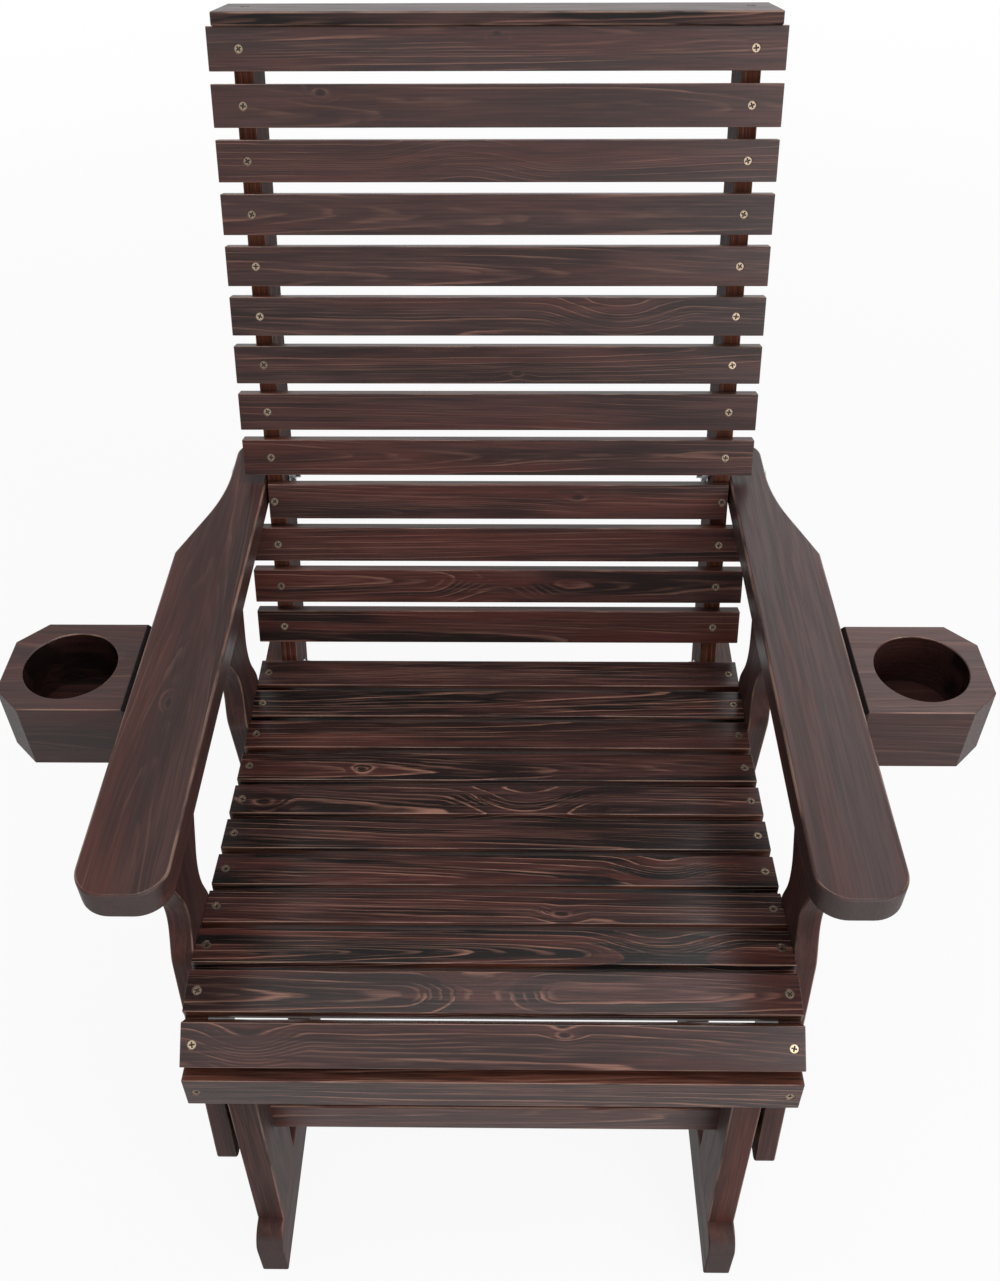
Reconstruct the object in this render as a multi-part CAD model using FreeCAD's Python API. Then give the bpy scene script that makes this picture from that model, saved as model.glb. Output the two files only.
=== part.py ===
import FreeCAD, Part
import math
import os

V = FreeCAD.Vector

# Millimetres and degrees. X points right as seen from the front, Y to the back, Z up.
# Until the end, Y is counted from a plane just ahead of the seat's rolled front and Z from the floor.

# Slats, the same stock on the seat and the back
slat_length = 535.0
slat_width = 38.0
slat_thick = 15.0
slat_round = 1.0
end_round = 0.8

# Seat: a shallow dish that rises to a crest and rolls over at the front
seat_slat_count = 12
seat_slat_gap = 8.0
seat_low_y = 406.0
seat_low_z = 435.0
dish_radius = 2100.0
crest_y = 136.0
roll_length = 160.0
front_slat_angle = 88.0
front_slat_drop = 5.0
rail_thick = 20.0
rail_depth = 78.0
rail_nose = 9.0
rail_nose_round = 26.0
rail_tail = 12.0
rail_tail_round = 24.0

# Back: slats on two reclined uprights under a cap board
back_slat_count = 13
back_slat_gap = 10.55
back_rise = 25.8
seat_back_gap = 12.6
recline = 18.6
upright_thick = 18.0
upright_depth = 63.0
upright_round = 1.5
cap_thick = 14.0
cap_tilt = 7.0
cap_overhang = 4.0
cap_inset = 6.0

# Arms, narrowed behind by an S-curve where they pass the uprights
arm_rise = 197.0
arm_thick = 28.0
arm_width = 74.5
arm_rear_width = 40.0
arm_front_y = 40.0
arm_tail = 8.0
arm_front_round = 28.0
arm_corner_round = 8.0
arm_s_setback = 194.0
arm_s_angle = 19.5
arm_s_straight = 62.0
arm_rear_round = 22.0
arm_edge_round = 3.0
slat_arm_clearance = 3.0

# Cup holders on the outer edges of the arms
cup_radius = 42.0
cup_depth = 57.0
cup_floor = 13.0
cup_length = 112.0
cup_reach = 123.0
cup_centre_y = 296.0
cup_inset = 64.0
cup_drop = 5.0
cup_chamfer = 25.0
cup_seam = 6.0
cup_round = 1.5

# Posts: straight leaning feet, a waist beside the seat and a flared head under the arm
post_thick = 21.0
post_foot_z = 138.0
post_ahead = 33.0
post_width = 74.0
post_lean = 7.6
shoulder_rise = 12.0
waist_rise = 58.0
waist_front = 23.0
waist_back = 14.0
waist_round = 60.0
shoulder_round = 40.0
head_front = 18.0
head_back = 124.0
post_foot_round = 8.0

# Base: legs on runners, tied by two cross rails
leg_thick = 28.0
leg_width = 78.0
leg_ahead = 64.0
leg_top_z = 300.0
leg_lean = 3.4
leg_round = 5.0
runner_height = 70.0
runner_toe = 26.0
toe_round = 22.0
base_rail_height = 44.0
base_rail_thick = 22.0
base_rail_drop = 69.0
base_rail_setback = 30.0
edge_round = 2.0
board_round = 2.0

# Glide links, hung in the gap between the base legs and the posts
link_gap = 16.0
link_thick = 5.0
link_width = 32.0
pivot_front_y = 94.0
rear_pivot_setback = 27.0
pivot_inset = 20.0
pivot_radius = 5.0
pivot_head_radius = 10.0
bush_wall = 2.5
bush_flange_radius = 12.0

# Fasteners
screw_radius = 2.0
screw_head_radius = 4.5
screw_head_depth = 2.8
screw_length = 28.0
bolt_radius = 4.0
bolt_head_radius = 9.0
bolt_head_rise = 4.0
bolt_end = 5.0
nut_height = 8.0
nut_flat_radius = 6.5
nut_flange_radius = 9.0
nut_flange_thick = 1.8
pivot_nut_height = 9.0
pivot_nut_sink = 1.0
bolt_low = 20.0
screw_bolt_gap = 7.0
pocket_wall = 2.5

# Clearances
running_clearance = 0.05
side_clearance = 0.3
head_clearance = 1.2
hole_clearance = 0.25
screw_clearance = 0.1

# Faces shared by neighbouring pieces, as distances from the middle plane
slat_end = slat_length / 2
rail_inner = slat_end - rail_thick
upright_inner = rail_inner - upright_thick
upright_middle = rail_inner - upright_thick / 2
rail_middle = slat_end - rail_thick / 2
post_outer = slat_end + post_thick
leg_outer = slat_end - link_gap
leg_inner = leg_outer - leg_thick
link_inner = leg_outer + (link_gap - link_thick) / 2
link_outer = link_inner + link_thick
arm_outer = rail_inner + arm_width

# Levels and spacings
arm_top_z = seat_low_z + arm_rise
arm_bottom_z = arm_top_z - arm_thick
rail_bottom_z = seat_low_z - slat_thick - rail_depth
pivot_low_z = post_foot_z + pivot_inset
pivot_high_z = leg_top_z - pivot_inset
post_foot_y = pivot_front_y - post_ahead
leg_foot_y = pivot_front_y - leg_ahead
seat_pitch = slat_width + seat_slat_gap
back_pitch = slat_width + back_slat_gap

parts = {}
flat = 1e-6


def rounded_wire(corners, place):
    """Closed outline through corners (u, v, radius): straight runs with a tangent arc at each corner."""
    count = len(corners)
    starts, middles, ends = [], [], []
    for i in range(count):
        u, v, radius = corners[i]
        here = V(u, v, 0)
        back = V(corners[i - 1][0], corners[i - 1][1], 0) - here
        ahead = V(corners[(i + 1) % count][0], corners[(i + 1) % count][1], 0) - here
        back.normalize()
        ahead.normalize()
        half = back.getAngle(ahead) / 2
        bisector = (back + ahead).normalize()
        starts.append(here + back * (radius / math.tan(half)))
        ends.append(here + ahead * (radius / math.tan(half)))
        middles.append(here + bisector * (radius / math.sin(half) - radius))
    edges = []
    for i in range(count):
        if corners[i][2] > 0:
            points = [place(p.x, p.y) for p in (starts[i], middles[i], ends[i])]
            edges.append(Part.Arc(*points).toShape())
        run_end = starts[(i + 1) % count]
        if (run_end - ends[i]).Length > flat:
            edges.append(Part.LineSegment(place(ends[i].x, ends[i].y), place(run_end.x, run_end.y)).toShape())
    return Part.Wire(edges)


def side_board(corners, x_from, x_to):
    """Board with a side outline of (y, z, radius) corners between two planes across X."""
    wire = rounded_wire(corners, lambda y, z: V(x_from, y, z))
    return Part.Face(wire).extrude(V(x_to - x_from, 0, 0))


def flat_board(corners, z_from, z_to):
    """Board with a top outline of (x, y, radius) corners between two levels."""
    wire = rounded_wire(corners, lambda x, y: V(x, y, z_from))
    return Part.Face(wire).extrude(V(0, 0, z_to - z_from))


def turned(profile, y, z):
    """Solid turned about an axis along X through (y, z), from a closed profile of (x, radius) points."""
    points = [V(x, y + radius, z) for x, radius in profile]
    face = Part.Face(Part.makePolygon(points + points[:1]))
    return face.revolve(V(0, y, z), V(1, 0, 0), 360)


def rod(x_from, x_to, y, z, radius):
    return Part.makeCylinder(radius, abs(x_to - x_from), V(min(x_from, x_to), y, z), V(1, 0, 0))


def mirrored_x(shape):
    return shape.mirror(V(0, 0, 0), V(1, 0, 0))


def mirrored_y(shape):
    return shape.mirror(V(0, middle_y, 0), V(0, 1, 0))


def ease(shape, radius, keep):
    """Round the edges that the test keep(edge) picks."""
    return shape.makeFillet(radius, [edge for edge in shape.Edges if keep(edge)])


def on_outline(edge, bare_z):
    """True for an edge of a side board's two faces, except where the board stands against a level."""
    box = edge.BoundBox
    seated = box.ZLength < flat and abs(box.ZMin - bare_z) < flat
    return box.XLength < flat and not seated


def add_pair(name, right_side):
    """Keep a right-hand piece and its mirror image on the left."""
    parts[name + "_right"] = right_side
    parts[name + "_left"] = mirrored_x(right_side)


def both_sides(shapes):
    return shapes + [mirrored_x(shape) for shape in shapes]


# Seat profile


crest_tilt = math.asin((seat_low_y - crest_y) / dish_radius)
crest_point = V(0, crest_y, seat_low_z + dish_radius * (1 - math.cos(crest_tilt)))
roll_turn = crest_tilt + math.radians(front_slat_angle)


def seat_station(run):
    """Point and outward normal of the seat surface at a distance behind the crest, measured along it.

    Behind the crest the surface is an arc. Ahead of it the curve tightens steadily as far as the front slat.
    """
    if run >= 0:
        tilt = crest_tilt - run / dish_radius
        normal = V(0, math.sin(tilt), math.cos(tilt))
        centre = V(0, seat_low_y, seat_low_z + dish_radius)
        return centre - normal * dish_radius, normal
    count = 200
    point = crest_point
    for k in range(count):
        tilt = crest_tilt - roll_turn * (run / roll_length * (k + 0.5) / count) ** 2
        point = point + V(0, math.cos(tilt), -math.sin(tilt)) * (run / count)
    tilt = crest_tilt - roll_turn * (run / roll_length) ** 2
    return point, V(0, math.sin(tilt), math.cos(tilt))


# Slat 1 lies at the back of the seat. The last one stands on the rolled front, a little apart from the rest.
seat_stations = [seat_station(i * seat_pitch - roll_length) for i in reversed(range(seat_slat_count))]
front_station, front_normal = seat_stations[-1]
front_along = V(0, front_normal.z, -front_normal.y)
front_point = front_station - front_along * front_slat_drop
seat_stations[-1] = (front_point, front_normal)


# The back's uprights stand just behind the last seat slat, and the rear posts keep their distance from the back

rear_point, rear_normal = seat_stations[0]
rear_edge = rear_point + V(0, rear_normal.z, -rear_normal.y) * (slat_width / 2)
back_foot_z = seat_low_z + back_rise
back_slope = math.tan(math.radians(recline))
back_face_y = rear_edge.y + seat_back_gap - slat_thick / math.cos(math.radians(recline))
back_foot_y = back_face_y + (back_foot_z - rear_edge.z) * back_slope
pivot_rear_y = back_foot_y - rear_pivot_setback
middle_y = (pivot_front_y + pivot_rear_y) / 2


# Slats and the screws that hold them


def screw(clearance=0.0):
    """Countersunk wood screw with its head in the plane z = 0, or the hole that it needs."""
    radius = screw_radius + clearance
    head = screw_head_radius + clearance
    depth = screw_length + clearance
    profile = [(0, 0), (head, 0), (radius, -screw_head_depth), (radius, radius - depth), (0, -depth)]
    points = [V(x, 0, z) for x, z in profile]
    face = Part.Face(Part.makePolygon(points + points[:1]))
    return face.revolve(V(0, 0, 0), V(0, 0, 1), 360)


def plain_slat(half_length):
    """Slat lying along X with the middle line of its face at the origin and its face up."""
    box = Part.makeBox(2 * half_length, slat_width, slat_thick, V(-half_length, -slat_width / 2, -slat_thick))
    slat = ease(box, slat_round, lambda edge: edge.Length > slat_width)
    return ease(slat, end_round, lambda edge: edge.BoundBox.XLength < flat)


def standing(shape, point, normal):
    """Copy of a shape whose own Z is turned about X to the normal and whose origin goes to the point."""
    turn = FreeCAD.Rotation(V(1, 0, 0), math.degrees(math.atan2(-normal.y, normal.z)))
    placed = shape.copy()
    placed.Placement = FreeCAD.Placement(point, turn).multiply(shape.Placement)
    return placed


def moved(shape, offset):
    placed = shape.copy()
    placed.translate(offset)
    return placed


wood_screws = []
rail_pilots = []
upright_pilots = []


def screwed_slat(half_length, screw_x, point, normal, pilots):
    """Slat on its station with two countersunk holes. Its screws and the pilot holes are kept."""
    slat = plain_slat(half_length)
    for x in (-screw_x, screw_x):
        slat = slat.cut(moved(screw(screw_clearance), V(x, 0, 0)))
        wood_screws.append(standing(moved(screw(), V(x, 0, 0)), point, normal))
    pilots.append(standing(moved(screw(screw_clearance), V(screw_x, 0, 0)), point, normal))
    return standing(slat, point, normal)


for i, (point, normal) in enumerate(seat_stations):
    parts["seat_slat_%02d" % (i + 1)] = screwed_slat(slat_end, rail_middle, point, normal, rail_pilots)

back_up = V(0, math.sin(math.radians(recline)), math.cos(math.radians(recline)))
back_normal = V(0, -back_up.z, back_up.y)
back_foot = V(0, back_foot_y, back_foot_z)
back_height = (back_slat_count - 1) * back_pitch + slat_width

# Back slat 1 is the top one. A slat at the height of the arms stops short between them.
for i in range(back_slat_count):
    rise = (back_slat_count - 1 - i) * back_pitch
    low = back_foot + back_up * rise
    high = low + back_up * slat_width
    beside_arm = low.z - slat_arm_clearance < arm_top_z and high.z + slat_arm_clearance > arm_bottom_z
    half = rail_inner - slat_arm_clearance if beside_arm else slat_end
    middle = low + back_up * (slat_width / 2)
    slat = screwed_slat(half, upright_middle, middle, back_normal, upright_pilots)
    parts["back_slat_%02d" % (i + 1)] = slat


# Bolts and nuts, all along X


def bolt(head_x, nut_x, y, z):
    """Carriage bolt with a domed head outside head_x, passing inward through a nut that seats at nut_x."""
    crown = head_x + bolt_head_rise
    edge = head_x + bolt_head_rise * 0.35
    end = nut_x - nut_height - bolt_end
    profile = [(end, 0), (crown, 0), (crown, bolt_head_radius * 0.45), (edge, bolt_head_radius),
               (head_x, bolt_head_radius), (head_x, bolt_radius), (end, bolt_radius)]
    return turned(profile, y, z)


def nut(seat_x, y, z, height, shank_radius, out):
    """Flanged lock nut on a face at seat_x, standing away from it along X in the direction out."""
    across = nut_flat_radius + (shank_radius - bolt_radius)
    flange = nut_flange_radius + (shank_radius - bolt_radius)
    corner = across / math.cos(math.radians(30))
    turns = [math.radians(60 * k) for k in range(7)]
    ring = [V(seat_x, y + corner * math.cos(a), z + corner * math.sin(a)) for a in turns]
    body = Part.Face(Part.makePolygon(ring)).extrude(V(out * height, 0, 0))
    body = body.fuse(rod(seat_x, seat_x + out * nut_flange_thick, y, z, flange))
    return body.cut(rod(seat_x, seat_x + out * height, y, z, shank_radius + running_clearance))


frame_bolts = []
lock_nuts = []


def fasten(head_x, nut_x, y, z):
    """Bolt and nut through the right side, and the hole that they need."""
    frame_bolts.append(bolt(head_x, nut_x, y, z))
    lock_nuts.append(nut(nut_x, y, z, nut_height, bolt_radius, -1))
    return rod(nut_x, head_x, y, z, bolt_radius + hole_clearance)


# Back uprights and cap board


def back_point(rise, depth):
    """Side view point at a height along the back and a depth behind the slats' face."""
    p = back_foot + back_up * rise - back_normal * depth
    return p.y, p.z


def upright_y(z, depth):
    """Y of the reclined line at a depth behind the slats' face, at a level."""
    y, foot_z = back_point(0, depth)
    return y + (z - foot_z) * back_slope


upright_front = slat_thick
upright_back = slat_thick + upright_depth
upright_centre = slat_thick + upright_depth / 2
cap_climb = math.tan(math.radians(cap_tilt))
upright_top_back = back_height + upright_depth * cap_climb

upright = side_board([
    (upright_y(rail_bottom_z, upright_front), rail_bottom_z, 0),
    (upright_y(rail_bottom_z, upright_back), rail_bottom_z, 0),
    (*back_point(upright_top_back, upright_back), 0),
    (*back_point(back_height, upright_front), 0),
], upright_inner, rail_inner)
upright = ease(upright, upright_round, lambda edge: edge.Length > 2 * upright_depth)

cap_front = -cap_overhang
cap_back = upright_back + cap_overhang


def cap_point(depth, height):
    """Side view point of the cap board, which tilts forward about the uprights' front top edge."""
    rise = back_height + (depth - upright_front) * cap_climb + height
    return back_point(rise, depth)


# Over the slats the cap's underside is cut square to the back, so that it sits on the first slat's edge
cap_lift = (upright_front - cap_front) * cap_climb
cap = side_board([
    (*cap_point(cap_front, cap_lift), edge_round),
    (*cap_point(upright_front, 0), 0),
    (*cap_point(cap_back, 0), edge_round),
    (*cap_point(cap_back, cap_thick), edge_round),
    (*cap_point(cap_front, cap_thick), edge_round),
], cap_inset - slat_end, slat_end - cap_inset)
cap = ease(cap, end_round, lambda edge: edge.BoundBox.XLength < flat)

cap_normal = V(0, -math.sin(math.radians(cap_tilt - recline)), math.cos(math.radians(cap_tilt - recline)))
cap_screw_y, cap_screw_z = cap_point(upright_centre, cap_thick)
cap_screw_at = V(upright_middle, cap_screw_y, cap_screw_z)
cap_pilot = standing(screw(screw_clearance), cap_screw_at, cap_normal)
parts["back_cap"] = cap.cut(both_sides([cap_pilot]))
wood_screws += both_sides([standing(screw(), cap_screw_at, cap_normal)])
upright = upright.cut(upright_pilots + [cap_pilot])


# Seat rails: each slat has its own flat on the rail's top


def underside_crossing(first, second):
    """Point where the undersides of two slats meet in side view."""
    p, n = first[0] - first[1] * slat_thick, first[1]
    q, m = second[0] - second[1] * slat_thick, second[1]
    along = V(0, n.z, -n.y)
    return p + along * ((q - p).dot(m) / along.dot(m))


rail_end_y = upright_y(seat_low_z, upright_back) + rail_tail
rear_under = rear_point - rear_normal * slat_thick
rail_end_z = rear_under.z - (rail_end_y - rear_under.y) * rear_normal.y / rear_normal.z
nose = front_point - front_normal * slat_thick - front_along * (slat_width / 2 + rail_nose)
flats = [underside_crossing(a, b) for a, b in zip(seat_stations, seat_stations[1:])]
rail = side_board(
    [(rail_end_y, rail_bottom_z, rail_tail_round), (rail_end_y, rail_end_z, rail_tail_round)]
    + [(p.y, p.z, 0) for p in flats]
    + [(nose.y, nose.z, 0), (nose.y + rail_nose_round, rail_bottom_z, rail_nose_round / 2)],
    rail_inner, slat_end)
rail = rail.cut(rail_pilots)


# Posts. The rear post is the front post turned round.


def post_front_y(z):
    return post_foot_y + (z - post_foot_z) * math.tan(math.radians(post_lean))


shoulder_z = seat_low_z + shoulder_rise
waist_z = seat_low_z + waist_rise
shoulder_y = post_front_y(shoulder_z)
post_corners = [
    (shoulder_y - head_front, arm_bottom_z, edge_round),
    (shoulder_y + waist_front, waist_z, waist_round),
    (shoulder_y, shoulder_z, shoulder_round),
    (post_foot_y, post_foot_z, post_foot_round),
    (post_foot_y + post_width, post_foot_z, post_foot_round),
    (shoulder_y + post_width, shoulder_z, shoulder_round),
    (shoulder_y + post_width - waist_back, waist_z, waist_round),
    (shoulder_y + head_back, arm_bottom_z, edge_round),
]
front_post = side_board(post_corners, slat_end, post_outer)
front_post = ease(front_post, board_round, lambda edge: on_outline(edge, arm_bottom_z))

pivot_nut_seat = post_outer - pivot_nut_height - pivot_nut_sink
pocket_radius = nut_flange_radius + (pivot_radius - bolt_radius) + pocket_wall
front_post = front_post.cut([
    rod(slat_end, post_outer, pivot_front_y, pivot_low_z, pivot_radius + hole_clearance),
    rod(pivot_nut_seat, post_outer, pivot_front_y, pivot_low_z, pocket_radius),
])
rear_post = mirrored_y(front_post)

rail_holes = []
high_bolt_z = seat_low_z - screw_length - screw_bolt_gap - bolt_radius
for level in (rail_bottom_z + bolt_low, high_bolt_z):
    front_y = post_front_y(level) + post_width / 2
    front_hole = fasten(post_outer, rail_inner, front_y, level)
    rear_hole = fasten(post_outer, rail_inner, 2 * middle_y - front_y, level)
    back_hole = fasten(slat_end, upright_inner, upright_y(level, upright_centre), level)
    front_post = front_post.cut(front_hole)
    rear_post = rear_post.cut(rear_hole)
    upright = upright.cut(back_hole)
    rail_holes += [front_hole, rear_hole, back_hole]
rail = rail.cut(rail_holes)


# Arms


arm_end_y = upright_y(arm_bottom_z + arm_thick / 2, upright_back) + arm_tail
arm_rear_outer = rail_inner + arm_rear_width
arm_s_y = arm_end_y - arm_s_setback
arm_step = arm_outer - arm_rear_outer
arm_s_end_y = arm_s_y + arm_step / math.tan(math.radians(arm_s_angle))
arm_s_slant = arm_step / math.sin(math.radians(arm_s_angle))
arm_s_bend = math.tan(math.radians(arm_s_angle / 2))
arm_s_round = (arm_s_slant - arm_s_straight) / arm_s_bend - arm_corner_round
arm = flat_board([
    (rail_inner, arm_front_y, arm_front_round),
    (arm_outer, arm_front_y, arm_front_round),
    (arm_outer, arm_s_y, arm_corner_round),
    (arm_rear_outer, arm_s_end_y, arm_s_round),
    (arm_rear_outer, arm_end_y, arm_rear_round),
    (rail_inner, arm_end_y, edge_round),
], arm_bottom_z, arm_top_z)
arm = ease(arm, arm_edge_round, lambda edge: edge.BoundBox.ZLength < flat)

arm_bolt_z = arm_bottom_z + arm_thick / 2
arm_hole = fasten(arm_rear_outer, upright_inner, upright_y(arm_bolt_z, upright_centre), arm_bolt_z)
arm = arm.cut(arm_hole)
upright = upright.cut(arm_hole)


# Cup holders: solid blocks with a blind bore, clipped outer corners and a bevelled seam by the arm


cup_top_z = arm_top_z - cup_drop
cup_bottom_z = cup_top_z - cup_depth - cup_floor
cup_front_y = cup_centre_y - cup_length / 2
cup_back_y = cup_centre_y + cup_length / 2
cup_outer = arm_outer + cup_reach
cup = flat_board([
    (arm_outer, cup_front_y, 0),
    (cup_outer - cup_chamfer, cup_front_y, 0),
    (cup_outer, cup_front_y + cup_chamfer, 0),
    (cup_outer, cup_back_y - cup_chamfer, 0),
    (cup_outer - cup_chamfer, cup_back_y, 0),
    (arm_outer, cup_back_y, 0),
], cup_bottom_z, cup_top_z)
cup_axis = V(arm_outer + cup_inset, cup_centre_y, cup_top_z - cup_depth)
cup = cup.cut(Part.makeCylinder(cup_radius, cup_depth, cup_axis))
seam = [
    V(arm_outer, cup_front_y, cup_top_z),
    V(arm_outer + cup_seam, cup_front_y, cup_top_z),
    V(arm_outer, cup_front_y, cup_top_z - cup_seam),
]
cup = cup.cut(Part.Face(Part.makePolygon(seam + seam[:1])).extrude(V(0, cup_length, 0)))
cup = ease(cup, cup_round, lambda edge: edge.BoundBox.XMin > arm_outer + flat and edge.BoundBox.ZMax > cup_top_z - flat
           and edge.BoundBox.XMax > arm_outer + cup_seam + flat)

add_pair("seat_rail", rail)
add_pair("back_upright", upright)
add_pair("front_post", front_post)
add_pair("rear_post", rear_post)
add_pair("arm", arm)
add_pair("cup_holder", cup)


# Base. The rear legs and rail are the front ones turned round.


leg_shift = (leg_top_z - runner_height) * math.tan(math.radians(leg_lean))
leg = side_board([
    (leg_foot_y, runner_height, 0),
    (leg_foot_y + leg_width, runner_height, 0),
    (leg_foot_y + leg_width + leg_shift, leg_top_z, leg_round),
    (leg_foot_y + leg_shift, leg_top_z, leg_round),
], leg_inner, leg_outer)
leg = ease(leg, board_round, lambda edge: on_outline(edge, runner_height))
leg = leg.cut(rod(leg_inner, leg_outer, pivot_front_y, pivot_high_z, pivot_radius + hole_clearance))
add_pair("base_front_leg", leg)
add_pair("base_rear_leg", mirrored_y(leg))

toe_y = leg_foot_y - runner_toe
heel_y = 2 * middle_y - toe_y
runner = side_board([
    (toe_y, 0, edge_round),
    (heel_y, 0, edge_round),
    (heel_y, runner_height, toe_round),
    (toe_y, runner_height, toe_round),
], leg_inner, leg_outer)
add_pair("runner", ease(runner, board_round, lambda edge: edge.BoundBox.XLength < flat))

rail_top = leg_top_z - base_rail_drop
rail_low = rail_top - base_rail_height
rail_face = leg_foot_y + leg_shift + base_rail_setback
base_rail = side_board([
    (rail_face, rail_low, edge_round),
    (rail_face + base_rail_thick, rail_low, edge_round),
    (rail_face + base_rail_thick, rail_top, edge_round),
    (rail_face, rail_top, edge_round),
], -leg_inner, leg_inner)
parts["base_front_rail"] = base_rail
parts["base_rear_rail"] = mirrored_y(base_rail)


# Glide links with their bushes, and the pivot bolts that they swing on


sleeve_radius = pivot_radius + running_clearance + bush_wall
bore_radius = pivot_radius + running_clearance
low = V(link_inner, pivot_front_y, pivot_low_z)
high = V(link_inner, pivot_front_y, pivot_high_z)
half_width = V(0, link_width / 2, 0)
tip = V(0, 0, link_width / 2)
link_outline = Part.Wire([
    Part.LineSegment(low + half_width, high + half_width).toShape(),
    Part.Arc(high + half_width, high + tip, high - half_width).toShape(),
    Part.LineSegment(high - half_width, low - half_width).toShape(),
    Part.Arc(low - half_width, low - tip, low + half_width).toShape(),
])
link = Part.Face(link_outline).extrude(V(link_thick, 0, 0))
for level in (pivot_low_z, pivot_high_z):
    link = link.cut(rod(link_inner, link_outer, pivot_front_y, level, sleeve_radius + running_clearance))


def bush(flange_from, flange_to, level):
    """Flanged bush: the sleeve fills the link's hole and the flange spaces the link from the wood."""
    body = rod(link_inner, link_outer, pivot_front_y, level, sleeve_radius)
    body = body.fuse(rod(flange_from, flange_to, pivot_front_y, level, bush_flange_radius))
    return body.cut(rod(leg_outer, slat_end, pivot_front_y, level, bore_radius))


bushes = Part.makeCompound([
    bush(leg_outer + side_clearance, link_inner, pivot_high_z),
    bush(link_outer, slat_end - side_clearance, pivot_low_z),
])
add_pair("front_link", link)
add_pair("rear_link", mirrored_y(link))
add_pair("front_link_bushes", bushes)
add_pair("rear_link_bushes", mirrored_y(bushes))


def pivot_bolt(head_from, end_x, level, out):
    """Low headed bolt from the link's free side at head_from through the bush and the wood to end_x."""
    head_to = head_from + out * ((link_gap - link_thick) / 2 - side_clearance - head_clearance)
    profile = [(end_x, 0), (head_to, 0), (head_to, pivot_head_radius), (head_from, pivot_head_radius),
               (head_from, pivot_radius), (end_x, pivot_radius)]
    return turned(profile, pivot_front_y, level)


high_bolt = pivot_bolt(link_outer + side_clearance, leg_inner - pivot_nut_height - bolt_end, pivot_high_z, 1)
high_nut = nut(leg_inner, pivot_front_y, pivot_high_z, pivot_nut_height, pivot_radius, -1)
low_bolt = pivot_bolt(link_inner - side_clearance, post_outer - pivot_nut_sink, pivot_low_z, -1)
low_nut = nut(pivot_nut_seat, pivot_front_y, pivot_low_z, pivot_nut_height, pivot_radius, 1)
for name, piece in (("base_pivot_bolts", high_bolt), ("base_pivot_nuts", high_nut), ("seat_pivot_bolts", low_bolt)):
    parts[name] = Part.makeCompound(both_sides([piece, mirrored_y(piece)]))
lock_nuts += [low_nut, mirrored_y(low_nut)]

parts["wood_screws"] = Part.makeCompound(wood_screws)
parts["frame_bolts"] = Part.makeCompound(both_sides(frame_bolts))
parts["lock_nuts"] = Part.makeCompound(both_sides(lock_nuts))


# The finished chair stands with the middle of its bounding box over the origin

whole = Part.makeCompound(list(parts.values())).optimalBoundingBox(False)
centre = V(0, -(whole.YMin + whole.YMax) / 2, 0)
os.makedirs("parts", exist_ok=True)
for name, shape in parts.items():
    placed = shape.copy()
    placed.translate(centre)
    placed.exportStep("parts/%s.step" % name)

print("pieces", len(parts))
print("size", round(whole.XLength, 1), round(whole.YLength, 1), round(whole.ZLength, 1))
print("pivot y", round(pivot_front_y + centre.y, 3), round(pivot_rear_y + centre.y, 3))
print("pivot z", pivot_low_z, pivot_high_z, "link middle x", (link_inner + link_outer) / 2)
print("cup axis", cup_axis.x, round(cup_axis.y + centre.y, 3), "mouth z", cup_top_z)
print("runner y", round(toe_y + centre.y, 3), round(heel_y + centre.y, 3), "x", leg_inner, leg_outer)
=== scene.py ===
import bpy
import math
import numpy as np
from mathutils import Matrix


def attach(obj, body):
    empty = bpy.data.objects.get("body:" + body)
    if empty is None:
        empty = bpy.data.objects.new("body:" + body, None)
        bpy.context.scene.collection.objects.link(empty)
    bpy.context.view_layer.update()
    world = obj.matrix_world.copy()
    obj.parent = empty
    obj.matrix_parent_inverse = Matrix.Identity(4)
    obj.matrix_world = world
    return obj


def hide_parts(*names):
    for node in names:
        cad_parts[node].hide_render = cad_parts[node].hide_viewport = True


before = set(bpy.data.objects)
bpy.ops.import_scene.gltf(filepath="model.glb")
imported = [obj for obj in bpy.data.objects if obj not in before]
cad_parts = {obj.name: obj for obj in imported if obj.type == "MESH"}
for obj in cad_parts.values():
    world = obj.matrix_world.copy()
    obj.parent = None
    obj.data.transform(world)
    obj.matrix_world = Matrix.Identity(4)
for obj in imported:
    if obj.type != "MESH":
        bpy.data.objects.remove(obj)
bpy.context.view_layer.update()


# Base: two runners on the ground, a leg at each end of them and two cross rails between the legs.
# All boards are planed softwood, stained a dark red-brown and varnished semi-gloss.
# The same finish covers every board of the chair, so the stain, the grain and the worn edges start here.

def add_group(name, inputs, outputs):
    """New shader node group with named sockets, given as (name, socket type) pairs."""
    group = bpy.data.node_groups.new(name, "ShaderNodeTree")
    for socket, kind in inputs:
        group.interface.new_socket(socket, in_out="INPUT", socket_type="NodeSocket" + kind)
    for socket, kind in outputs:
        group.interface.new_socket(socket, in_out="OUTPUT", socket_type="NodeSocket" + kind)
    return group, group.nodes.new("NodeGroupInput"), group.nodes.new("NodeGroupOutput")


def put(tree, kind, sockets=None, **settings):
    """Node of a kind with its settings; each socket takes a plain value or the output that feeds it."""
    node = tree.nodes.new("ShaderNode" + kind)
    for key, value in settings.items():
        setattr(node, key, value)
    for key, value in (sockets or {}).items():
        if isinstance(value, bpy.types.NodeSocket):
            tree.links.new(value, node.inputs[key])
        else:
            node.inputs[key].default_value = value
    return node


def calc(tree, operation, *values):
    """Output of a Math node."""
    return put(tree, "Math", dict(enumerate(values)), operation=operation).outputs[0]


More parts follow.
